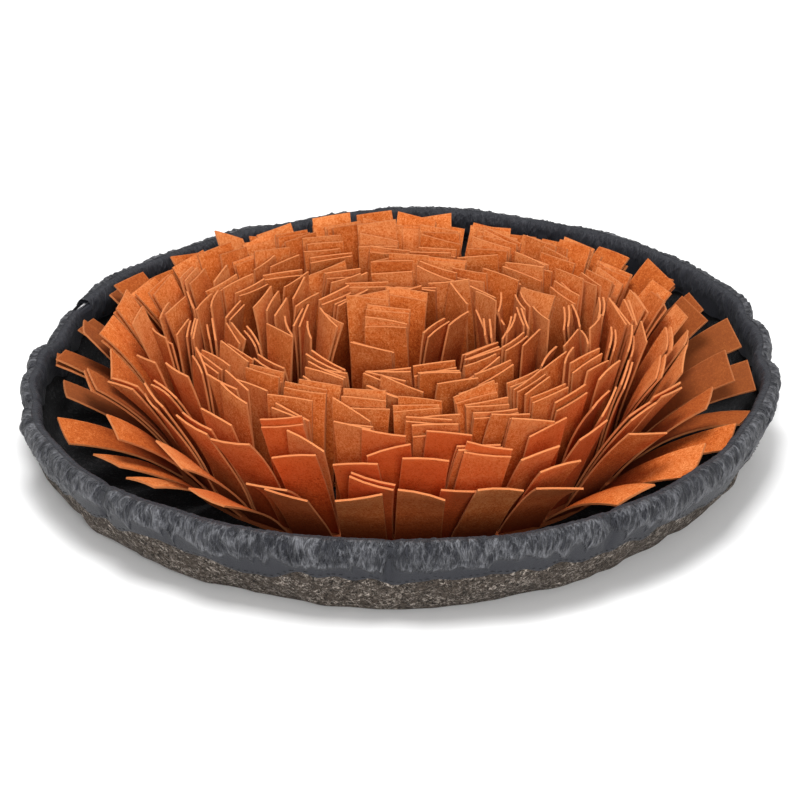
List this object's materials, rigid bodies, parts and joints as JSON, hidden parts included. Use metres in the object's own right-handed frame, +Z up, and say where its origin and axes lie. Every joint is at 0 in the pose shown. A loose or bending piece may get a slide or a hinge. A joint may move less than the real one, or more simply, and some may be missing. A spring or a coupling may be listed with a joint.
{
  "type": "snuffle mat",
  "caption": "Round snuffle mat: a felt tray with a low wall, a gathered cloth rim and rings of upright felt strips that hide dry food.",
  "frame": {"origin": "on the floor, under the middle of the mat's box", "axes": "+Z up out of the tray, -Y towards the front of the picture, +X to its right"},
  "size_m": [0.4245, 0.426, 0.0792],
  "materials": {
    "grey_felt": "needled melange felt, matte",
    "casing_cloth": "thin woven cloth, slight sheen",
    "cord": "braided, matte",
    "orange_felt": "needled felt, matte"
  },
  "bodies": {
    "root": {"felt_tray": "grey_felt", "rim_casing": "casing_cloth", "drawcord": "cord", "outer_ring_01": "orange_felt", "outer_ring_02": "orange_felt", "outer_ring_03": "orange_felt", "outer_ring_04": "orange_felt", "outer_ring_05": "orange_felt", "outer_ring_06": "orange_felt", "outer_ring_07": "orange_felt", "outer_ring_08": "orange_felt", "outer_ring_09": "orange_felt", "outer_ring_10": "orange_felt", "second_ring_01": "orange_felt", "second_ring_02": "orange_felt", "second_ring_03": "orange_felt", "second_ring_04": "orange_felt", "second_ring_05": "orange_felt", "second_ring_06": "orange_felt", "second_ring_07": "orange_felt", "second_ring_08": "orange_felt", "second_ring_09": "orange_felt", "second_ring_10": "orange_felt", "third_ring_01": "orange_felt", "third_ring_02": "orange_felt", "third_ring_03": "orange_felt", "third_ring_04": "orange_felt", "third_ring_05": "orange_felt", "third_ring_06": "orange_felt", "third_ring_07": "orange_felt", "third_ring_08": "orange_felt", "third_ring_09": "orange_felt", "third_ring_10": "orange_felt", "fourth_ring_01": "orange_felt", "fourth_ring_02": "orange_felt", "fourth_ring_03": "orange_felt", "fourth_ring_04": "orange_felt", "fourth_ring_05": "orange_felt", "fourth_ring_06": "orange_felt", "fourth_ring_07": "orange_felt", "fourth_ring_08": "orange_felt", "fourth_ring_09": "orange_felt", "fourth_ring_10": "orange_felt", "fifth_ring_01": "orange_felt", "fifth_ring_02": "orange_felt", "fifth_ring_03": "orange_felt", "fifth_ring_04": "orange_felt", "fifth_ring_05": "orange_felt", "sixth_ring_01": "orange_felt", "sixth_ring_02": "orange_felt", "sixth_ring_03": "orange_felt", "sixth_ring_04": "orange_felt", "sixth_ring_05": "orange_felt", "seventh_ring_01": "orange_felt", "seventh_ring_02": "orange_felt", "seventh_ring_03": "orange_felt", "seventh_ring_04": "orange_felt", "centre_tuft": "orange_felt"}
  },
  "joints": []
}
